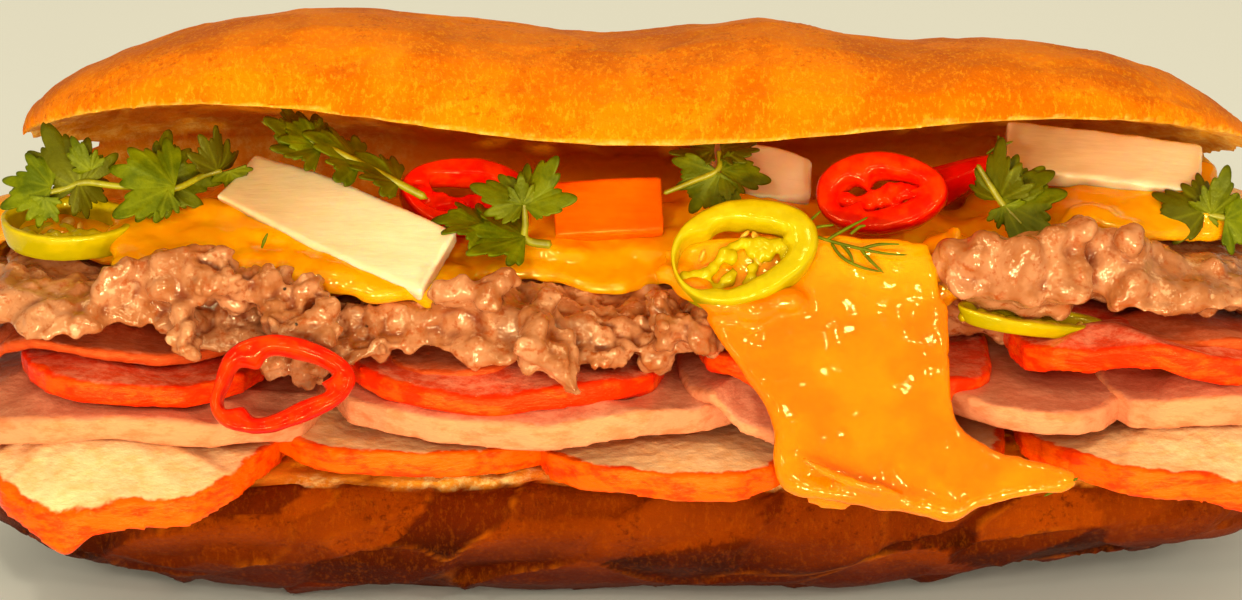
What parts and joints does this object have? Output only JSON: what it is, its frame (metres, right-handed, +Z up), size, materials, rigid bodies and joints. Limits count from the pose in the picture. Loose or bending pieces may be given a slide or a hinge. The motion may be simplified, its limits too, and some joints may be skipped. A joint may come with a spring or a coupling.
{
  "type": "banh mi sandwich",
  "caption": "Long crusty roll, slit along one side and opened, filled with sliced meats, minced meat, egg sauce, pickles and chilli.",
  "frame": {"origin": "middle of the flat spot under the loaf, on the surface that it rests on", "axes": "+X along the loaf, -Y out of its open side, +Z up"},
  "size_m": [0.2226, 0.0872, 0.0925],
  "materials": {
    "crust": "baked golden crust, rough, with pale creases and tiny blisters",
    "roast": "cream cut face with an orange glazed rim, moist",
    "pork_roll": "smooth pale salmon meat, moist",
    "red_ham": "pink cut face with an orange red rim, moist",
    "pink_ham": "pink cured ham, translucent, moist",
    "minced_meat": "lumpy cooked mince in a glossy greyish pink paste",
    "egg_sauce": "thick glossy yellow orange sauce",
    "radish": "translucent pale pickled root, wet",
    "carrot": "bright orange pickled root, wet",
    "red_chilli": "glossy red chilli",
    "green_chilli": "glossy yellow green chilli"
  },
  "bodies": {
    "root": {"loaf": "crust", "roast_slice_1": "roast", "roast_slice_2": "roast", "roast_slice_3": "roast", "roast_slice_4": "roast", "roast_slice_5": "roast", "pork_roll_slice_1": "pork_roll", "pork_roll_slice_2": "pork_roll", "pork_roll_slice_3": "pork_roll", "pork_roll_slice_4": "pork_roll", "pork_roll_slice_5": "pork_roll", "red_ham_slice_1": "red_ham", "red_ham_slice_2": "red_ham", "red_ham_slice_3": "red_ham", "red_ham_slice_4": "red_ham", "red_ham_slice_5": "red_ham", "pink_ham_slice_1": "pink_ham", "pink_ham_slice_2": "pink_ham", "pink_ham_slice_3": "pink_ham", "minced_meat_left": "minced_meat", "minced_meat_right": "minced_meat", "egg_sauce": "egg_sauce", "chilli_green_front": "green_chilli", "chilli_red_front": "red_chilli", "radish_front": "radish", "radish_middle": "radish", "radish_right": "radish", "carrot_middle": "carrot", "chilli_red_left": "red_chilli", "chilli_green_left": "green_chilli", "chilli_green_middle": "green_chilli", "chilli_red_right": "red_chilli", "chilli_red_end": "red_chilli"}
  },
  "joints": []
}
